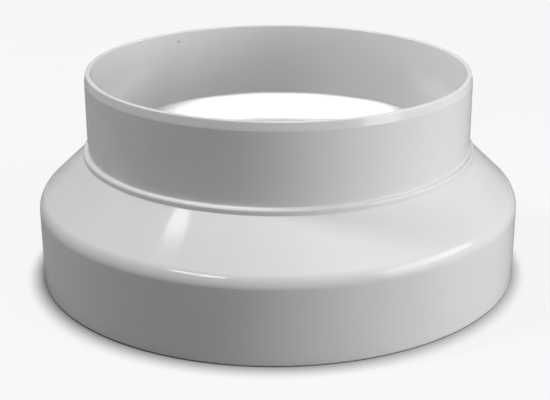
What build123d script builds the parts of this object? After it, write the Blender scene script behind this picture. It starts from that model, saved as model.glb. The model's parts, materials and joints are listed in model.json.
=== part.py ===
from build123d import *
import os

# Concentric duct reducer, moulded in one piece: a small spigot with a stop collar, a cone and a large skirt.
# Millimetres. +Z runs up the duct from the large end to the small end.
# The origin is at the centre of the large end's mouth, in the plane that the part stands on.

# Diameters and wall
SPIGOT_OD = 99.0  # small end, slips into a duct of 100 mm bore
SKIRT_OD = 124.5  # large end, slips into a duct of 125 mm bore
WALL = 2.3  # thickness of spigot, cone and skirt, measured level

# Heights along the duct
SKIRT_LENGTH = 20.5  # mouth to the corner where the cone starts
CONE_HEIGHT = 11.0  # rise of the cone, from the skirt to the collar
COLLAR_HEIGHT = 1.5  # thickness of the stop collar
SPIGOT_LENGTH = 20.0  # collar's ledge to the rim, the depth that a duct slides over

# Stop collar and the lead-in round the spigot's rim
COLLAR_LEDGE = 1.15  # how far the collar stands out from the spigot
LEAD_IN_HEIGHT = 1.95  # length of the taper below the rim
RIM_LAND = 1.1  # flat that the taper leaves on the rim

# Roundings and bevels
SHOULDER_RADIUS = 4.5  # outside, cone to skirt
THROAT_RADIUS = 1.0  # inside, cone to spigot
LEDGE_ROOT_RADIUS = 0.5  # spigot to the collar's ledge
COLLAR_BEVEL = 0.35  # outer edge of the collar's ledge
MOUTH_BEVEL = 0.4  # both edges of the large end's mouth
SHARP = 0.0  # a corner that the mould leaves sharp

# Radii that follow from the diameters
spigot_radius = SPIGOT_OD / 2
skirt_radius = SKIRT_OD / 2
collar_radius = spigot_radius + COLLAR_LEDGE
bore_radius = spigot_radius - WALL
socket_radius = skirt_radius - WALL

# Levels up the duct
shoulder_level = SKIRT_LENGTH
collar_foot_level = shoulder_level + CONE_HEIGHT
ledge_level = collar_foot_level + COLLAR_HEIGHT
rim_level = ledge_level + SPIGOT_LENGTH
lead_in_level = rim_level - LEAD_IN_HEIGHT


def cone_inside_level(radius):
    """Height of the cone's inner face at a radius: that of the outer face one wall's thickness further out."""
    fall = CONE_HEIGHT / (skirt_radius - collar_radius)
    return collar_foot_level - (radius + WALL - collar_radius) * fall


def wall_section():
    """The wall's section in the XZ plane: each corner's radius and height, and the rounding that it gets."""
    inner_shoulder_radius = max(SHOULDER_RADIUS - WALL, SHARP)
    outside = [
        (bore_radius + RIM_LAND, rim_level, SHARP),
        (spigot_radius, lead_in_level, SHARP),
        (spigot_radius, ledge_level, LEDGE_ROOT_RADIUS),
        (collar_radius - COLLAR_BEVEL, ledge_level, SHARP),
        (collar_radius, ledge_level - COLLAR_BEVEL, SHARP),
        (collar_radius, collar_foot_level, SHARP),
        (skirt_radius, shoulder_level, SHOULDER_RADIUS),
        (skirt_radius, MOUTH_BEVEL, SHARP),
        (skirt_radius - MOUTH_BEVEL, 0, SHARP),
    ]
    inside = [
        (socket_radius + MOUTH_BEVEL, 0, SHARP),
        (socket_radius, MOUTH_BEVEL, SHARP),
        (socket_radius, cone_inside_level(socket_radius), inner_shoulder_radius),
        (bore_radius, cone_inside_level(bore_radius), THROAT_RADIUS),
        (bore_radius, rim_level, SHARP),
    ]
    corners = outside + inside
    points = [(radius, height) for radius, height, rounding in corners]
    roundings = [rounding for radius, height, rounding in corners]
    with BuildSketch(Plane.XZ) as section:
        with BuildLine():
            FilletPolyline(*points, radius=roundings, close=True)
        make_face()
    return section.sketch


def reducer_body():
    """The whole moulding: its wall's section turned once round the duct's axis."""
    body = revolve(wall_section(), axis=Axis.Z, revolution_arc=360)
    body.label = "reducer_body"
    return body


os.makedirs("parts", exist_ok=True)
export_step(reducer_body(), "parts/reducer_body.step")
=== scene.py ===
import json
import logging
import math
from dataclasses import dataclass
from enum import Enum

import bmesh
import bpy
from mathutils import Euler, Matrix, Quaternion, Vector


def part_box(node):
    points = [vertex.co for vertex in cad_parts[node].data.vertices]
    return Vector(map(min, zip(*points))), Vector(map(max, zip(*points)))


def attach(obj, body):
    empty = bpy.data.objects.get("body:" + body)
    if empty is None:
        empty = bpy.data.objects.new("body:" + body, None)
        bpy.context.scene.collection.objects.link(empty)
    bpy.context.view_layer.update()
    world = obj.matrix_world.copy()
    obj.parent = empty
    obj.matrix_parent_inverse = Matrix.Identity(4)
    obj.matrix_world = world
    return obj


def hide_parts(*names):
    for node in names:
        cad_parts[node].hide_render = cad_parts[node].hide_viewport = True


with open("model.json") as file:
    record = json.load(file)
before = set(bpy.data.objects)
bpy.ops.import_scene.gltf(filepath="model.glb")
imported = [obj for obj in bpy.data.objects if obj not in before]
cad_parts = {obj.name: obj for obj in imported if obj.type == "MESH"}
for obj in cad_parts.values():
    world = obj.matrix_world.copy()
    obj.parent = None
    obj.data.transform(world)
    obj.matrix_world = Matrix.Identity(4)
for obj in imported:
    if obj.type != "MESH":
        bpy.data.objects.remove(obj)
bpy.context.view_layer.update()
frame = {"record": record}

LOG = logging.getLogger("duct_reducer")
MM = 0.001  # metres in a millimetre
WHITE = (1.0, 1.0, 1.0, 1.0)
RING_TOLERANCE = 0.01 * MM  # how near its ring a vertex lies
ROUND_PROFILE = 0.5  # the bevel profile that makes an arc

# Socket numbers of a Mix node for colours, because its sockets for other types have the same names
MIX_SHARE, MIX_FIRST, MIX_SECOND, MIX_RESULT = 0, 6, 7, 2

Colour = tuple[float, float, float, float]
Triple = tuple[float, float, float]


def mount_radius(name: str) -> float:
    """Reads one mount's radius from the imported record.

    Args:
        name: The mount's name in the record.

    Returns:
        The radius in metres.
    """
    found = next(mount for mount in frame["record"]["mounts"] if mount["name"] == name)
    return found["dims"]["r_mm"] * MM


class NodeSheet:
    """A node tree that is filled in one node at a time."""

    def __init__(self, tree: bpy.types.NodeTree) -> None:
        """Starts on the node tree of a material, a world or a group."""
        self.tree = tree

    def add(self, kind: str, values: dict | None = None, **settings: object) -> bpy.types.Node:
        """Adds a node.

        Args:
            kind: Blender's name for the node's type.
            values: Plain values for its input sockets, by socket name or number.
            settings: The node's own settings, by name.

        Returns:
            The new node.
        """
        node = self.tree.nodes.new(kind)
        for name, value in settings.items():
            setattr(node, name, value)
        for socket, value in (values or {}).items():
            node.inputs[socket].default_value = value
        return node

    def join(self, source: bpy.types.NodeSocket, target: bpy.types.NodeSocket) -> None:
        """Links an output socket to an input socket."""
        self.tree.links.new(source, target)


def seen_white(sheet: NodeSheet, straight: float, glossy: float) -> bpy.types.NodeSocket:
    """Adds the white that surroundings show to the eye, and by way of gloss and glass.

    Args:
        sheet: The node tree of the floor or the world.
        straight: How white it looks straight to the eye, where 1 is white.
        glossy: How white it looks in gloss and through glass.

    Returns:
        The socket that holds that strength for such rays and 0 for the rest.
    """
    path = sheet.add("ShaderNodeLightPath")
    eye = sheet.add("ShaderNodeMath", {1: straight}, operation="MULTIPLY")
    either = sheet.add("ShaderNodeMath", operation="MAXIMUM")
    total = sheet.add("ShaderNodeMath", {1: glossy}, operation="MULTIPLY_ADD")
    sheet.join(path.outputs["Is Camera Ray"], eye.inputs[0])
    sheet.join(path.outputs["Is Glossy Ray"], either.inputs[0])
    sheet.join(path.outputs["Is Transmission Ray"], either.inputs[1])
    sheet.join(either.outputs["Value"], total.inputs[0])
    sheet.join(eye.outputs["Value"], total.inputs[2])
    return total.outputs["Value"]


@dataclass(frozen=True)
class SoftMottle:
    """The cloudy unevenness that the plastic's colour, polish and skin have.

    Attributes:
        grain: How strong the finer clouds are, from 0 to 1.
        darkest: Cloud value that becomes Low.
        lightest: Cloud value that becomes High.
    """

    grain: float = 0.55
    darkest: float = 0.3
    lightest: float = 0.7

    def group(self) -> bpy.types.NodeTree:
        """Builds the shader node group.

        Returns:
            A group whose Value wanders from about Low to about High over the surface.
        """
        group = bpy.data.node_groups.new("soft_mottle", "ShaderNodeTree")
        for name, start in (("Scale", 100.0), ("Detail", 3.0), ("Low", 0.0), ("High", 1.0)):
            socket = group.interface.new_socket(name, in_out="INPUT", socket_type="NodeSocketFloat")
            socket.default_value = start
        group.interface.new_socket("Value", in_out="OUTPUT", socket_type="NodeSocketFloat")
        sheet = NodeSheet(group)
        given = sheet.add("NodeGroupInput")
        out = sheet.add("NodeGroupOutput")
        place = sheet.add("ShaderNodeTexCoord")
        cloud = sheet.add("ShaderNodeTexNoise", {"Roughness": self.grain})
        limits = {"From Min": self.darkest, "From Max": self.lightest}
        spread = sheet.add("ShaderNodeMapRange", limits, clamp=False)
        sheet.join(place.outputs["Object"], cloud.inputs["Vector"])
        sheet.join(given.outputs["Scale"], cloud.inputs["Scale"])
        sheet.join(given.outputs["Detail"], cloud.inputs["Detail"])
        sheet.join(cloud.outputs["Fac"], spread.inputs["Value"])
        sheet.join(given.outputs["Low"], spread.inputs["To Min"])
        sheet.join(given.outputs["High"], spread.inputs["To Max"])
        sheet.join(spread.outputs["Result"], out.inputs["Value"])
        return group


@dataclass(frozen=True)
class MouldedPlastic:
    """White semi-gloss plastic as it comes out of the mould.

    Attributes:
        pale: Base colour of the palest patches.
        dull: Base colour of the dullest patches.
        patches: Patches of colour to the metre.
        smooth: Roughness where the mould was polished best.
        matt: Roughness where it was polished least.
        polish_marks: Patches of polish to the metre.
        refraction: Index of refraction, which sets how strongly the surface shines.
        glow: Share of the light that enters the wall and comes out elsewhere.
        glow_reach: How far such light wanders, in metres.
        peel_depth: Depth of the faint orange peel, in metres.
        peel_strength: How much of that depth shows, from 0 to 1.
        peel_dimples: Dimples of the orange peel to the metre.
        peel_detail: Number of finer layers in those dimples.
        speck: Base colour of the one dark speck on the bore.
        speck_place: Middle of the speck, in metres.
        speck_radius: How far the speck reaches, in metres.
    """

    pale: Colour = (0.815, 0.815, 0.815, 1.0)
    dull: Colour = (0.785, 0.785, 0.785, 1.0)
    patches: float = 55.0
    smooth: float = 0.08
    matt: float = 0.11
    polish_marks: float = 140.0
    refraction: float = 1.5
    glow: float = 0.2
    glow_reach: float = 2.5 * MM
    peel_depth: float = 0.01 * MM
    peel_strength: float = 0.35
    peel_dimples: float = 700.0
    peel_detail: float = 1.0
    speck: Colour = (0.3, 0.3, 0.3, 1.0)
    speck_place: Triple = (-29.04 * MM, 38.07 * MM, 50.4 * MM)
    speck_radius: float = 0.55 * MM

    def material(self, mottle: bpy.types.NodeTree) -> bpy.types.Material:
        """Builds the material.

        Args:
            mottle: The group that gives cloudy unevenness.

        Returns:
            The finished material.
        """
        plastic = bpy.data.materials.new("moulded_plastic")
        plastic.use_nodes = True
        sheet = NodeSheet(plastic.node_tree)
        shader = plastic.node_tree.nodes["Principled BSDF"]
        shader.inputs["IOR"].default_value = self.refraction
        shader.inputs["Subsurface Weight"].default_value = self.glow
        shader.inputs["Subsurface Radius"].default_value = (1.0, 1.0, 1.0)
        shader.inputs["Subsurface Scale"].default_value = self.glow_reach
        sheet.join(self.colour(sheet, mottle), shader.inputs["Base Color"])
        sheet.join(self.polish(sheet, mottle), shader.inputs["Roughness"])
        sheet.join(self.skin(sheet, mottle), shader.inputs["Normal"])
        return plastic

    def colour(self, sheet: NodeSheet, mottle: bpy.types.NodeTree) -> bpy.types.NodeSocket:
        """Adds the uneven white and the one dark speck on it.

        Args:
            sheet: The material's node tree.
            mottle: The group that gives cloudy unevenness.

        Returns:
            The socket that holds the colour.
        """
        cloud = sheet.add("ShaderNodeGroup", {"Scale": self.patches}, node_tree=mottle)
        shades = {MIX_FIRST: self.dull, MIX_SECOND: self.pale}
        white = sheet.add("ShaderNodeMix", shades, data_type="RGBA")
        place = sheet.add("ShaderNodeTexCoord")
        away = sheet.add("ShaderNodeVectorMath", {1: self.speck_place}, operation="DISTANCE")
        fading = {"From Max": self.speck_radius, "To Min": 1.0, "To Max": 0.0}
        inked = sheet.add("ShaderNodeMapRange", fading)
        marked = sheet.add("ShaderNodeMix", {MIX_SECOND: self.speck}, data_type="RGBA")
        sheet.join(cloud.outputs["Value"], white.inputs[MIX_SHARE])
        sheet.join(place.outputs["Object"], away.inputs[0])
        sheet.join(away.outputs["Value"], inked.inputs["Value"])
        sheet.join(inked.outputs["Result"], marked.inputs[MIX_SHARE])
        sheet.join(white.outputs[MIX_RESULT], marked.inputs[MIX_FIRST])
        return marked.outputs[MIX_RESULT]

    def polish(self, sheet: NodeSheet, mottle: bpy.types.NodeTree) -> bpy.types.NodeSocket:
        """Adds the uneven polish.

        Args:
            sheet: The material's node tree.
            mottle: The group that gives cloudy unevenness.

        Returns:
            The socket that holds the roughness.
        """
        range_of_polish = {"Scale": self.polish_marks, "Low": self.smooth, "High": self.matt}
        return sheet.add("ShaderNodeGroup", range_of_polish, node_tree=mottle).outputs["Value"]

    def skin(self, sheet: NodeSheet, mottle: bpy.types.NodeTree) -> bpy.types.NodeSocket:
        """Adds the faint orange peel.

        Args:
            sheet: The material's node tree.
            mottle: The group that gives cloudy unevenness.

        Returns:
            The socket that holds the surface's normal.
        """
        fineness = {"Scale": self.peel_dimples, "Detail": self.peel_detail}
        peel = sheet.add("ShaderNodeGroup", fineness, node_tree=mottle)
        relief = {"Strength": self.peel_strength, "Distance": self.peel_depth}
        bump = sheet.add("ShaderNodeBump", relief)
        sheet.join(peel.outputs["Value"], bump.inputs["Height"])
        return bump.outputs["Normal"]


@dataclass(frozen=True)
class PalePaper:
    """The paper that the part stands on, white to the eye, with soft shade painted round the part's
    foot.

    Attributes:
        bounce: Share of the lamps' light that the paper throws back.
        white: How brightly the paper shows besides that, to the eye.
        mirrored: The same in gloss.
        foot: How far from the duct's axis the part's foot stands, in metres.
        long_side: Heading across the floor in which the painted shade round the foot reaches furthest.
        longest: How far the shade reaches there, in metres.
        shortest: How far it reaches on the other side, in metres.
        clear: Openness to the sky, from 0 to 1, at which the paper has no shade.
        deepest: Openness at which the shade would be black, on the left.
        faintest: The same on the right, where most light comes from.
    """

    bounce: Colour = (0.1, 0.1, 0.1, 1.0)
    white: float = 0.84
    mirrored: float = 0.2
    foot: float = 62.0 * MM
    long_side: Triple = (-0.2, -0.98, 0.0)
    longest: float = 6.9 * MM
    shortest: float = 1.2 * MM
    clear: float = 0.95
    deepest: float = 0.45
    faintest: float = 0.19

    def material(self) -> bpy.types.Material:
        """Builds the material.

        Returns:
            The finished material.
        """
        paper = bpy.data.materials.new("pale_paper")
        paper.use_nodes = True
        tree = paper.node_tree
        tree.nodes.remove(tree.nodes["Principled BSDF"])
        sheet = NodeSheet(tree)
        out = tree.nodes["Material Output"]
        strength = sheet.add("ShaderNodeMath", operation="MULTIPLY")
        white = sheet.add("ShaderNodeEmission")
        dull = sheet.add("ShaderNodeBsdfDiffuse", {"Color": self.bounce})
        both = sheet.add("ShaderNodeAddShader")
        # painted shade: the white glow is scaled down near the part by occlusion, not by the lamps
        sheet.join(self.shade(sheet), strength.inputs[0])
        sheet.join(seen_white(sheet, self.white, self.mirrored), strength.inputs[1])
        sheet.join(strength.outputs["Value"], white.inputs["Strength"])
        sheet.join(dull.outputs["BSDF"], both.inputs[0])
        sheet.join(white.outputs["Emission"], both.inputs[1])
        sheet.join(both.outputs["Shader"], out.inputs["Surface"])
        return paper

    def shade(self, sheet: NodeSheet) -> bpy.types.NodeSocket:
        """Adds the painted shade round the foot, which is longer at the front and deeper on the left:
        occlusion dims the paper's own white glow, in place of the lamps' shadow.

        Args:
            sheet: The material's node tree.

        Returns:
            The socket that holds what the shade leaves of the white, from 0 to 1.
        """
        place = sheet.add("ShaderNodeTexCoord")
        across = sheet.add("ShaderNodeSeparateXYZ")
        heading = sheet.add("ShaderNodeVectorMath", {1: self.long_side}, operation="DOT_PRODUCT")
        span = {"From Min": -self.foot, "From Max": self.foot}
        lengths = {**span, "To Min": self.shortest, "To Max": self.longest}
        depths = {**span, "To Min": self.deepest, "To Max": self.faintest}
        reach = sheet.add("ShaderNodeMapRange", lengths)
        black = sheet.add("ShaderNodeMapRange", depths)
        # painted shade: ambient occlusion, not a lamp's shadow, darkens the paper's glow near the foot
        open_sky = sheet.add("ShaderNodeAmbientOcclusion")
        left_over = sheet.add("ShaderNodeMapRange", {"From Max": self.clear})
        sheet.join(place.outputs["Object"], across.inputs["Vector"])
        sheet.join(place.outputs["Object"], heading.inputs[0])
        sheet.join(across.outputs["X"], black.inputs["Value"])
        sheet.join(heading.outputs["Value"], reach.inputs["Value"])
        sheet.join(reach.outputs["Result"], open_sky.inputs["Distance"])
        sheet.join(black.outputs["Result"], left_over.inputs["From Min"])
        sheet.join(open_sky.outputs["AO"], left_over.inputs["Value"])
        return left_over.outputs["Result"]


class Softening(Enum):
    """What sort of corner a ring of edges is; the value is the number of steps round it."""

    MOULDED = 14
    EASED = 4


@dataclass(frozen=True)
class Corner:
    """One corner of the wall's section, which becomes a ring of edges round the duct.

    Attributes:
        radius: Distance from the duct's axis, in metres.
        level: Height above the large end's mouth, in metres.
        rounding: Radius that the mould leaves on the corner, in metres.
        softening: What sort of corner it is.
    """

    radius: float
    level: float
    rounding: float
    softening: Softening

    def holds(self, point: Vector) -> bool:
        """Whether a vertex lies on this corner's ring."""
        off_radius = math.hypot(point.x, point.y) - self.radius
        return math.hypot(off_radius, point.z - self.level) < RING_TOLERANCE

    def has_edge(self, edge: bmesh.types.BMEdge) -> bool:
        """Whether an edge runs round the duct on this corner's ring."""
        return all(self.holds(vertex.co) for vertex in edge.verts)

    def set_back(self, before: "Corner", after: "Corner") -> float:
        """Works out how far the rounding reaches along both walls.

        Args:
            before: The corner before this one round the section.
            after: The corner after it.

        Returns:
            The distance from the corner to where the rounding starts, in metres.
        """
        heading_in = math.atan2(self.level - before.level, self.radius - before.radius)
        heading_out = math.atan2(after.level - self.level, after.radius - self.radius)
        turn = abs((heading_out - heading_in + math.pi) % (2 * math.pi) - math.pi)
        return self.rounding * math.tan(turn / 2)


@dataclass
class ReducerBody:
    """The whole moulding: spigot, stop collar, cone and skirt in one closed wall. Lengths are in metres.

    Attributes:
        spigot_radius: Outside of the small end.
        bore_radius: Inside of the small end.
        skirt_radius: Outside of the large end.
        socket_radius: Inside of the large end.
        rim_level: Top of the spigot above the mouth.
        skirt_length: Mouth to the corner where the cone starts.
        cone_height: Rise of the cone, from the skirt to the collar.
        collar_height: Thickness of the stop collar.
        collar_ledge: How far the collar stands out from the spigot.
        lead_in_height: Length of the taper below the rim.
        rim_land: Flat that the taper leaves on the rim.
        bore_flare: How much the bore widens, in radius, from the throat up to the rim.
        rim_rounding: Both edges of the rim's flat.
        lead_in_rounding: Where the taper starts on the spigot.
        ledge_root_rounding: Spigot to the collar's ledge.
        collar_rounding: Outer edge of the collar's ledge.
        collar_foot_rounding: Collar to cone.
        shoulder_rounding: Outside, cone to skirt.
        mouth_rounding: Both edges of the large end's mouth.
        throat_rounding: Inside, cone to spigot.
        facets: Number of flats round the duct.
        crease: Angle between faces, in radians, above which an edge looks sharp.
    """

    spigot_radius: float
    bore_radius: float
    skirt_radius: float
    socket_radius: float
    rim_level: float
    skirt_length: float = 20.5 * MM
    cone_height: float = 11.0 * MM
    collar_height: float = 1.5 * MM
    collar_ledge: float = 1.15 * MM
    lead_in_height: float = 2.1 * MM
    rim_land: float = 1.1 * MM
    bore_flare: float = 0.8 * MM
    rim_rounding: float = 0.25 * MM
    lead_in_rounding: float = 0.5 * MM
    ledge_root_rounding: float = 0.2 * MM
    collar_rounding: float = 0.6 * MM
    collar_foot_rounding: float = 0.3 * MM
    shoulder_rounding: float = 4.5 * MM
    mouth_rounding: float = 0.45 * MM
    throat_rounding: float = 1.0 * MM
    facets: int = 256
    crease: float = math.radians(40)

    @classmethod
    def from_frame(cls) -> "ReducerBody":
        """Takes the diameters from the record's mounts and the height from the CAD node.

        Returns:
            The moulding at its real size.
        """
        return cls(
            spigot_radius=mount_radius("spigot"),
            bore_radius=mount_radius("spigot_bore"),
            skirt_radius=mount_radius("skirt"),
            socket_radius=mount_radius("skirt_socket"),
            rim_level=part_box("reducer_body")[1].z,
        )

    def section(self) -> list[Corner]:
        """Lays out the wall's section, down the outside and back up the inside.

        Returns:
            The corners in order, each with its rounding.
        """
        collar_radius = self.spigot_radius + self.collar_ledge
        collar_foot = self.skirt_length + self.cone_height
        ledge = collar_foot + self.collar_height
        lead_in = self.rim_level - self.lead_in_height
        wall = self.skirt_radius - self.socket_radius
        rim_bore = self.bore_radius + self.bore_flare
        inner_shoulder_rounding = self.shoulder_rounding - wall
        fall = self.cone_height / (self.skirt_radius - collar_radius)

        def cone_inside(radius: float) -> float:
            """Level of the cone's inner face at a radius."""
            return collar_foot - (radius + wall - collar_radius) * fall

        inner_shoulder = cone_inside(self.socket_radius)
        throat = cone_inside(self.bore_radius)
        eased, moulded = Softening.EASED, Softening.MOULDED
        return [
            Corner(rim_bore + self.rim_land, self.rim_level, self.rim_rounding, eased),
            Corner(self.spigot_radius, lead_in, self.lead_in_rounding, eased),
            Corner(self.spigot_radius, ledge, self.ledge_root_rounding, eased),
            Corner(collar_radius, ledge, self.collar_rounding, eased),
            Corner(collar_radius, collar_foot, self.collar_foot_rounding, eased),
            Corner(self.skirt_radius, self.skirt_length, self.shoulder_rounding, moulded),
            Corner(self.skirt_radius, 0.0, self.mouth_rounding, eased),
            Corner(self.socket_radius, 0.0, self.mouth_rounding, eased),
            Corner(self.socket_radius, inner_shoulder, inner_shoulder_rounding, moulded),
            Corner(self.bore_radius, throat, self.throat_rounding, moulded),
            Corner(rim_bore, self.rim_level, self.rim_rounding, eased),
        ]

    def build(self) -> bpy.types.Object:
        """Models the shell from a circle.

        Returns:
            The finished mesh object.
        """
        corners = self.section()
        first = corners[0]
        start = (0, 0, first.level)
        bpy.ops.object.select_all(action="DESELECT")
        bpy.ops.mesh.primitive_circle_add(vertices=self.facets, radius=first.radius, location=start)
        body = bpy.context.object
        body.name = body.data.name = "reducer_shell"
        bpy.ops.object.transform_apply(location=True, rotation=True, scale=True)
        bpy.ops.object.mode_set(mode="EDIT")
        bpy.ops.mesh.select_mode(type="EDGE")
        self.extrude(body, corners)
        self.soften(body, corners)
        bpy.ops.mesh.select_all(action="SELECT")
        bpy.ops.mesh.normals_make_consistent(inside=False)
        bpy.ops.object.mode_set(mode="OBJECT")
        bpy.ops.object.shade_smooth_by_angle(angle=self.crease)
        even = body.modifiers.new("even_shading", "WEIGHTED_NORMAL")
        even.keep_sharp = True
        bpy.ops.object.modifier_apply(modifier=even.name)
        return body

    def extrude(self, body: bpy.types.Object, corners: list[Corner]) -> None:
        """Extrudes the first corner's ring through all the others and closes the wall.

        Args:
            body: The mesh object, in edit mode, with that ring alone.
            corners: The section's corners in order.
        """
        bpy.ops.mesh.select_all(action="SELECT")
        for here, there in zip(corners, corners[1:]):
            rise = (0, 0, there.level - here.level)
            bpy.ops.mesh.extrude_region_move(TRANSFORM_OT_translate={"value": rise})
            grow = there.radius / here.radius
            bpy.ops.transform.resize(value=(grow, grow, 1), center_override=(0, 0, there.level))
        self.select_rings(body, [corners[0], corners[-1]])
        bpy.ops.mesh.bridge_edge_loops()

    def soften(self, body: bpy.types.Object, corners: list[Corner]) -> None:
        """Gives each corner's ring its rounding.

        Args:
            body: The mesh object, in edit mode, with its wall closed.
            corners: The section's corners in order.
        """
        for number, corner in enumerate(corners):
            after = corners[(number + 1) % len(corners)]
            reach = corner.set_back(corners[number - 1], after)
            steps = corner.softening.value
            self.select_rings(body, [corner])
            bpy.ops.mesh.bevel(offset=reach, segments=steps, profile=ROUND_PROFILE, affect="EDGES")

    def select_rings(self, body: bpy.types.Object, corners: list[Corner]) -> None:
        """Selects the edges that run round the duct on some corners, and nothing else.

        Args:
            body: The mesh object, in edit mode.
            corners: The corners whose rings are wanted.
        """
        bpy.ops.mesh.select_all(action="DESELECT")
        mesh = bmesh.from_edit_mesh(body.data)
        for edge in mesh.edges:
            edge.select_set(any(corner.has_edge(edge) for corner in corners))
        bmesh.update_edit_mesh(body.data)

    def dress(self, body: bpy.types.Object, plastic: bpy.types.Material) -> None:
        """Gives the shell its finish and its place in the frame.

        Args:
            body: The shell.
            plastic: Its material.
        """
        body.data.materials.clear()
        body.data.materials.append(plastic)
        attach(body, "root")
        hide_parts("reducer_body")


class Effect(Enum):
    """What a lamp adds to a surface: its light or its reflection."""

    LIGHT = "light"
    REFLECTION = "reflection"


def area_lamp(
    name: str,
    place: Vector,
    turn: Euler,
    face: tuple[float, float],
    power: float,
    effect: Effect,
    spread: float = math.pi,
) -> bpy.types.Object:
    """Adds a lamp with a flat glowing face.

    Args:
        name: What the lamp is for.
        place: The middle of its face.
        turn: How it is turned, from facing straight down.
        face: Breadth and height of the face, in metres.
        power: Output in watts.
        effect: What it adds to a surface.
        spread: Width of its beam, in radians.

    Returns:
        The lamp.
    """
    bpy.ops.object.light_add(type="AREA", location=place, rotation=turn)
    lamp = bpy.context.object
    lamp.name = name
    lamp.data.shape = "RECTANGLE"
    lamp.data.size, lamp.data.size_y = face
    lamp.data.energy = power
    lamp.data.spread = spread
    lamp.visible_camera = False
    lamp.visible_diffuse = effect is Effect.LIGHT
    lamp.visible_glossy = effect is Effect.REFLECTION
    return lamp


def facing(place: Vector, aim: Vector, roll: float = 0.0) -> Euler:
    """The turn that makes a lamp at one point face another, rolled about the line between them."""
    return ((aim - place).to_track_quat("-Z", "Y") @ Quaternion((0, 0, 1), roll)).to_euler()


@dataclass(frozen=True)
class Softbox:
    """One soft lamp that stands round the part and faces it.

    Attributes:
        name: What the lamp is for.
        azimuth: Where it stands round the part, in degrees from the front towards the right.
        elevation: How high it stands, in degrees above the part's middle.
        width: Breadth of the face that glows, in metres.
        height: Height of that face, in metres.
        power: Output in watts.
        effect: What it adds to a surface.
        roll: How far it is turned about the line it faces along, in degrees.
        distance: From the part's middle, in metres.
        middle: Height of the part's middle above the floor, in metres.
    """

    name: str
    azimuth: float
    elevation: float
    width: float
    height: float
    power: float
    effect: Effect
    roll: float = 0.0
    distance: float = 1.0
    middle: float = 30 * MM

    def hang(self) -> list[bpy.types.Object]:
        """Adds the lamp, turned to face the part.

        Returns:
            The lamp, alone in a list.
        """
        round_part, up = math.radians(self.azimuth), math.radians(self.elevation)
        along = math.cos(up)
        towards = Vector((math.sin(round_part) * along, -math.cos(round_part) * along, math.sin(up)))
        middle = Vector((0, 0, self.middle))
        place = middle + self.distance * towards
        face = (self.width, self.height)
        turn = facing(place, middle, math.radians(self.roll))
        return [area_lamp(self.name, place, turn, face, self.power, self.effect)]


@dataclass(frozen=True)
class BoreLight:
    """A small lamp over the spigot, which lights one side of the bore and nothing outside it.

    Attributes:
        place: Where it hangs, in metres.
        aim: The spot on the bore that it faces, in metres.
        side: Length of each side of its face, in metres.
        power: Output in watts.
        spread: Width of its beam, in radians.
    """

    place: Triple = (-17 * MM, -6 * MM, 105 * MM)
    aim: Triple = (44 * MM, 16 * MM, 43 * MM)
    side: float = 30 * MM
    power: float = 0.006
    spread: float = 1.9

    def hang(self) -> list[bpy.types.Object]:
        """Adds the lamp.

        Returns:
            The lamp, alone in a list.
        """
        place = Vector(self.place)
        turn = facing(place, Vector(self.aim))
        face = (self.side, self.side)
        return [area_lamp("bore_light", place, turn, face, self.power, Effect.LIGHT, self.spread)]


@dataclass(frozen=True)
class GlowArc:
    """An arc of lamps on the floor inside the skirt, for what the bore shows of the cone's inside.

    Attributes:
        radius: Of the arc, in metres.
        level: Height above the floor, in metres.
        first: Where the first lamp stands, in degrees from the back towards the left.
        last: Where the last one stands, in the same degrees.
        count: Number of lamps.
        length: Of each lamp along the arc, in metres.
        width: Of each lamp across the arc, in metres.
        power: Output of each lamp in watts.
        spread: Width of each beam, in radians.
    """

    radius: float = 52.5 * MM
    level: float = 1.5 * MM
    first: float = -45.0
    last: float = 36.0
    count: int = 10
    length: float = 8.4 * MM
    width: float = 13 * MM
    power: float = 0.00105
    spread: float = 1.0

    def hang(self) -> list[bpy.types.Object]:
        """Adds the lamps, which face straight up.

        Returns:
            The lamps in order along the arc.
        """
        lamps = []
        face = (self.length, self.width)
        for number in range(self.count):
            angle = math.radians(self.first + (self.last - self.first) * number / (self.count - 1))
            place = Vector((-math.sin(angle) * self.radius, math.cos(angle) * self.radius, self.level))
            turn = Euler((math.pi, 0, angle))
            lamps.append(area_lamp("glow_arc", place, turn, face, self.power, Effect.LIGHT, self.spread))
        return lamps


@dataclass(frozen=True)
class PhotoCamera:
    """The camera, where the photograph was taken from.

    Attributes:
        distance: From the duct's axis along the floor, in metres.
        level: Height above the floor, in metres.
        pitch: Tilt below the horizon, in radians.
        yaw: Turn to the right, in radians.
        roll: Lean to the left, in radians.
        focal_pixels: Focal length in pixels of the image.
        image_width: Width of the image in pixels.
        off_centre: How far right and down of the image's middle the lens points, in pixels.
        sensor_width: Width of the sensor, in millimetres.
    """

    distance: float = 299.76 * MM
    level: float = 129.98 * MM
    pitch: float = 0.32918
    yaw: float = 0.06123
    roll: float = 0.01648
    focal_pixels: float = 1197.1
    image_width: int = 550
    off_centre: tuple[float, float] = (75.0, -40.0)
    sensor_width: float = 36.0

    def set_up(self) -> bpy.types.Object:
        """Adds the camera and makes it the scene's own.

        Returns:
            The camera.
        """
        upright = Matrix.Rotation(math.pi / 2 - self.pitch, 3, "X")
        tilted = upright @ Matrix.Rotation(self.roll, 3, "Z")
        turned = Matrix.Rotation(-self.yaw, 3, "Z") @ tilted
        place = (0, -self.distance, self.level)
        bpy.ops.object.camera_add(location=place, rotation=turned.to_euler())
        camera = bpy.context.object
        camera.data.sensor_width = self.sensor_width
        camera.data.lens = self.sensor_width * self.focal_pixels / self.image_width
        camera.data.shift_x = -self.off_centre[0] / self.image_width
        camera.data.shift_y = self.off_centre[1] / self.image_width
        bpy.context.scene.camera = camera
        return camera


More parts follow.
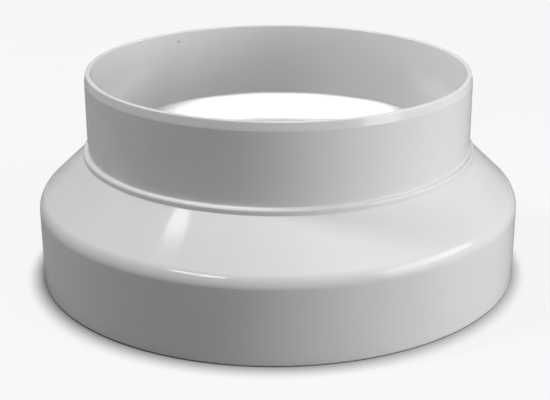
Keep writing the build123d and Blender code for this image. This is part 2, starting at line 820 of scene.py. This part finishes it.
@dataclass(frozen=True)
class Studio:
    """Floor, pale surroundings and lamps.

    Attributes:
        floor_size: Length of each side of the floor, in metres.
        white: How white the surroundings look straight to the eye.
        mirrored: The same in gloss.
        lamps: Every lamp. A softbox's numbers are its azimuth, elevation, width, height and power.
    """

    floor_size: float = 4.0
    white: float = 1.0
    mirrored: float = 0.4
    lamps: tuple[Softbox | BoreLight | GlowArc, ...] = (
        Softbox("right_low", 62, 8, 0.6, 0.25, 3.2, Effect.LIGHT),
        Softbox("right_side", 95, 10, 0.6, 0.25, 1.45, Effect.LIGHT),
        Softbox("right_floor", 80, -0.29, 0.6, 0.048, 2.0, Effect.LIGHT),
        Softbox("right_high", 62, 42, 0.6, 0.4, 2.4, Effect.LIGHT),
        Softbox("front_top", 0, 66, 1.2, 0.8, 3.5, Effect.LIGHT),
        Softbox("left_key", 267, 57, 0.16, 0.16, 5.5, Effect.LIGHT),
        Softbox("back_low", 190, 6, 0.8, 0.2, 3.6, Effect.LIGHT),
        Softbox("left_streak", 280.8, 54.6, 0.125, 0.1, 0.26, Effect.REFLECTION, roll=42),
        Softbox("left_strip", 320, 34, 0.42, 0.1, 1.4, Effect.REFLECTION),
        Softbox("right_strip", 72, 22, 0.9, 0.36, 3.6, Effect.REFLECTION),
        Softbox("rim_glint", 58, 4, 0.4, 0.1, 0.45, Effect.REFLECTION),
        Softbox("back_strip", 180, 45, 0.9, 0.14, 2.5, Effect.REFLECTION),
        BoreLight(),
        GlowArc(),
    )

    def lay_floor(self, paper: bpy.types.Material) -> bpy.types.Object:
        """Lays the floor.

        Args:
            paper: The floor's material.

        Returns:
            The floor.
        """
        bpy.ops.object.select_all(action="DESELECT")
        bpy.ops.mesh.primitive_plane_add(size=self.floor_size, location=(0, 0, 0))
        floor = bpy.context.object
        floor.name = "floor"
        floor.data.materials.append(paper)
        return floor

    def surround(self) -> bpy.types.World:
        """Makes the surroundings white to the eye and dimmer in gloss, with no light of their own.

        Returns:
            The scene's world.
        """
        world = bpy.data.worlds.new("pale_room")
        world.use_nodes = True
        bpy.context.scene.world = world
        sheet = NodeSheet(world.node_tree)
        glow = world.node_tree.nodes["Background"]
        glow.inputs["Color"].default_value = WHITE
        sheet.join(seen_white(sheet, self.white, self.mirrored), glow.inputs["Strength"])
        return world

    def light(self) -> list[bpy.types.Object]:
        """Hangs every lamp."""
        return [hung for lamp in self.lamps for hung in lamp.hang()]


def main() -> None:
    """Builds the part and its studio in order, and reports each piece."""
    logging.basicConfig(level=logging.INFO, format="%(name)s: %(message)s")
    bpy.context.scene.view_settings.view_transform = "Standard"
    mottle = SoftMottle().group()
    reducer = ReducerBody.from_frame()
    shell = reducer.build()
    reducer.dress(shell, MouldedPlastic().material(mottle))
    LOG.info("%s: %d faces", shell.name, len(shell.data.polygons))
    studio = Studio()
    floor = studio.lay_floor(PalePaper().material())
    world = studio.surround()
    lamps = studio.light()
    camera = PhotoCamera().set_up()
    LOG.info("studio: %s, %s, %s and %d lamps", floor.name, world.name, camera.name, len(lamps))


if __name__ == "__main__":
    main()
